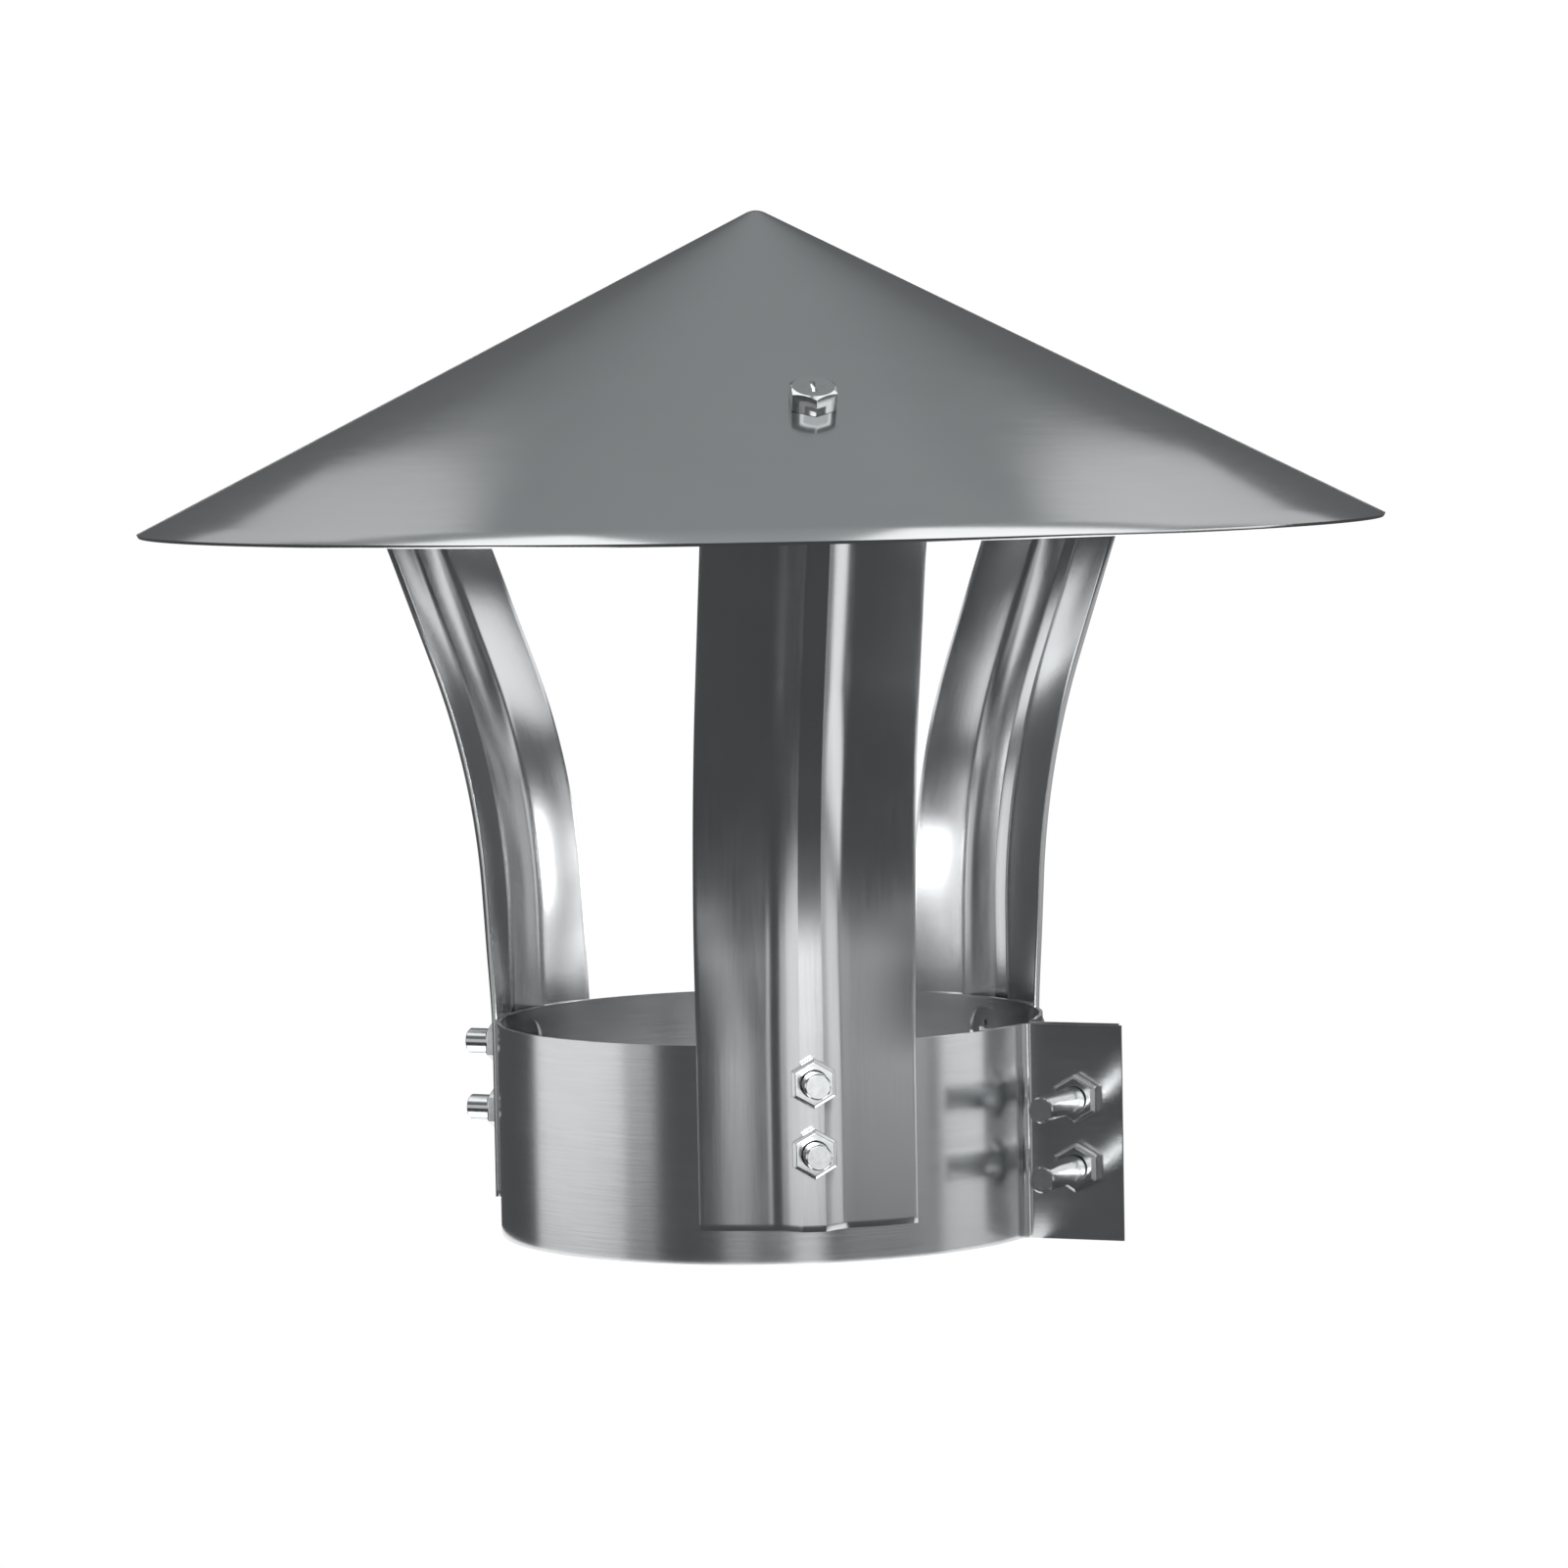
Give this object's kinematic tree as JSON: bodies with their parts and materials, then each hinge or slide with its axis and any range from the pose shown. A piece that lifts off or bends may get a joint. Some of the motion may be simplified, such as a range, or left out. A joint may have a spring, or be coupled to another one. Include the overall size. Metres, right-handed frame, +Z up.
{
  "type": "chimney rain cap",
  "caption": "Stainless steel chimney rain cap: a cone roof on ribbed strap legs, with a split collar that two bolts clamp on a round flue.",
  "frame": {"origin": "on the flue axis, at the collar's lower edge", "axes": "+Z up along the flue axis, +X from the axis to the split between the clamp ears"},
  "size_m": [0.292, 0.292, 0.2394],
  "materials": {
    "roof_sheet": "satin rolled stainless steel",
    "collar_sheet": "bright rolled stainless steel",
    "strap_sheet": "bright rolled stainless steel",
    "stainless_fastener": "polished stainless steel"
  },
  "bodies": {
    "cap": {"roof_cone": "roof_sheet", "collar_band": "collar_sheet", "leg_front": "strap_sheet", "leg_left": "strap_sheet", "leg_rear": "strap_sheet", "leg_front_screw_upper": "stainless_fastener", "leg_front_screw_lower": "stainless_fastener", "leg_left_screw_upper": "stainless_fastener", "leg_left_screw_lower": "stainless_fastener", "leg_rear_screw_upper": "stainless_fastener", "leg_rear_screw_lower": "stainless_fastener", "leg_front_nut_upper": "stainless_fastener", "leg_front_nut_lower": "stainless_fastener", "leg_left_nut_upper": "stainless_fastener", "leg_left_nut_lower": "stainless_fastener", "leg_rear_nut_upper": "stainless_fastener", "leg_rear_nut_lower": "stainless_fastener", "roof_bolt_front": "stainless_fastener", "roof_bolt_left": "stainless_fastener", "roof_bolt_rear": "stainless_fastener", "roof_nut_front": "stainless_fastener", "roof_nut_left": "stainless_fastener", "roof_nut_rear": "stainless_fastener"},
    "upper_clamp_bolt": {"clamp_bolt_upper": "stainless_fastener"},
    "lower_clamp_bolt": {"clamp_bolt_lower": "stainless_fastener"},
    "upper_clamp_nut": {"clamp_nut_upper": "stainless_fastener"},
    "lower_clamp_nut": {"clamp_nut_lower": "stainless_fastener"}
  },
  "joints": [
    {"name": "upper_clamp_bolt_turn", "type": "hinge", "parent": "cap", "child": "upper_clamp_bolt", "pos_m": [0.0776, 0.0023, 0.033], "axis": [0, 1, 0], "range_deg": [0, 7200]},
    {"name": "upper_clamp_nut_travel", "type": "slide", "parent": "cap", "child": "upper_clamp_nut", "axis": [0, -1, 0], "range_m": [0, 0.02]},
    {"name": "lower_clamp_bolt_turn", "type": "hinge", "parent": "cap", "child": "lower_clamp_bolt", "pos_m": [0.0776, 0.0023, 0.017], "axis": [0, 1, 0], "range_deg": [0, 7200]},
    {"name": "lower_clamp_nut_travel", "type": "slide", "parent": "cap", "child": "lower_clamp_nut", "axis": [0, -1, 0], "range_m": [0, 0.02]}
  ],
  "couplings": [
    {"joint": "upper_clamp_nut_travel", "follows": "upper_clamp_bolt_turn", "m_per_rad": 0.00015915},
    {"joint": "lower_clamp_nut_travel", "follows": "lower_clamp_bolt_turn", "m_per_rad": 0.00015915}
  ]
}
